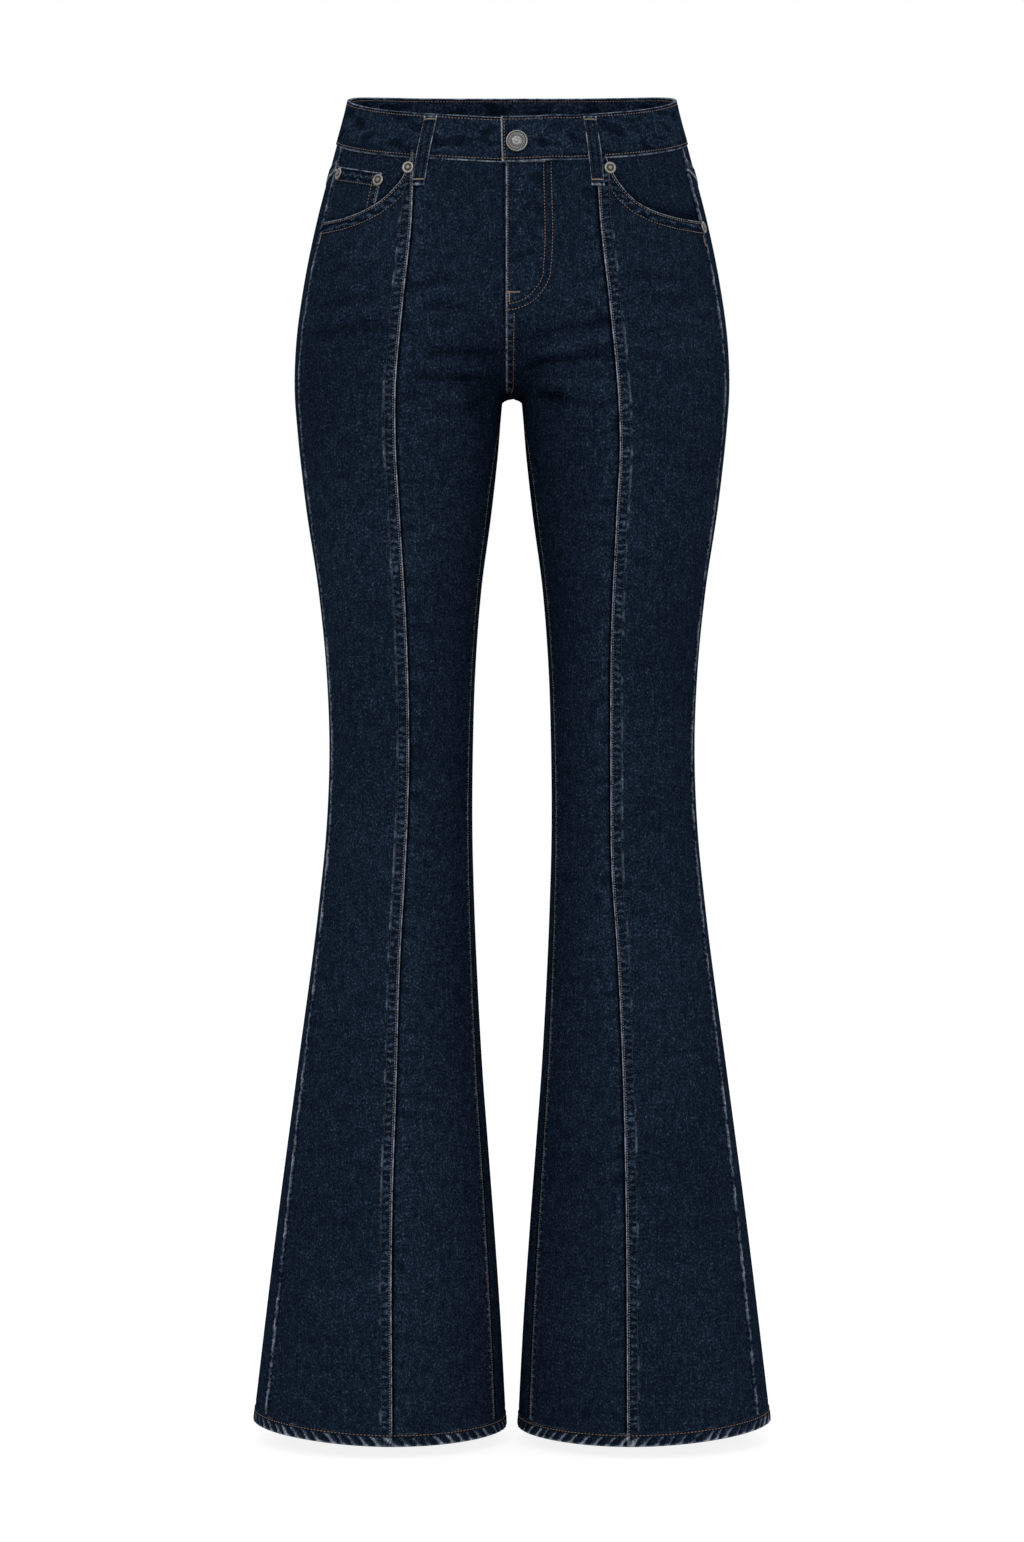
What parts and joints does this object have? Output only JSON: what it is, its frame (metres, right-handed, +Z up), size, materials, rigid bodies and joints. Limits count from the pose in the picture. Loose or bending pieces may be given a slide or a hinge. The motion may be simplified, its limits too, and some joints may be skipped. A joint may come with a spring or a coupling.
{
  "type": "flared jeans",
  "caption": "High-waisted jeans in dark stretch denim, hollow as if worn, fitted to the knee and flared to the hem, with long front seams, patch pockets and a buttoned waistband.",
  "frame": {"origin": "middle of the waist opening, at the height of the waistband's top edge at the sides", "axes": "+Z up, from the hems to the waist; the front faces -Y; +X is the wearer's left"},
  "size_m": [0.4126, 0.222, 1.0783],
  "materials": {
    "denim": "matte, washed dark indigo twill with paler seams",
    "zip": "matte tape",
    "button": "antique pewter",
    "rivets": "worn nickel"
  },
  "bodies": {
    "root": {"back_left": "denim", "back_pocket_left": "denim", "back_pocket_right": "denim", "back_right": "denim", "belt_loop_back_centre": "denim", "belt_loop_back_left": "denim", "belt_loop_back_right": "denim", "belt_loop_front_left": "denim", "belt_loop_front_right": "denim", "button": "button", "coin_pocket": "denim", "fly_shield": "denim", "front_centre_left": "denim", "front_centre_right": "denim", "front_pocket_left": "denim", "front_pocket_right": "denim", "front_side_left": "denim", "front_side_right": "denim", "rivet_coin_inner": "rivets", "rivet_coin_outer": "rivets", "rivet_mouth_left": "rivets", "rivet_mouth_right": "rivets", "rivet_side_left": "rivets", "waistband": "denim", "yoke_left": "denim", "yoke_right": "denim", "zip": "zip"}
  },
  "joints": []
}
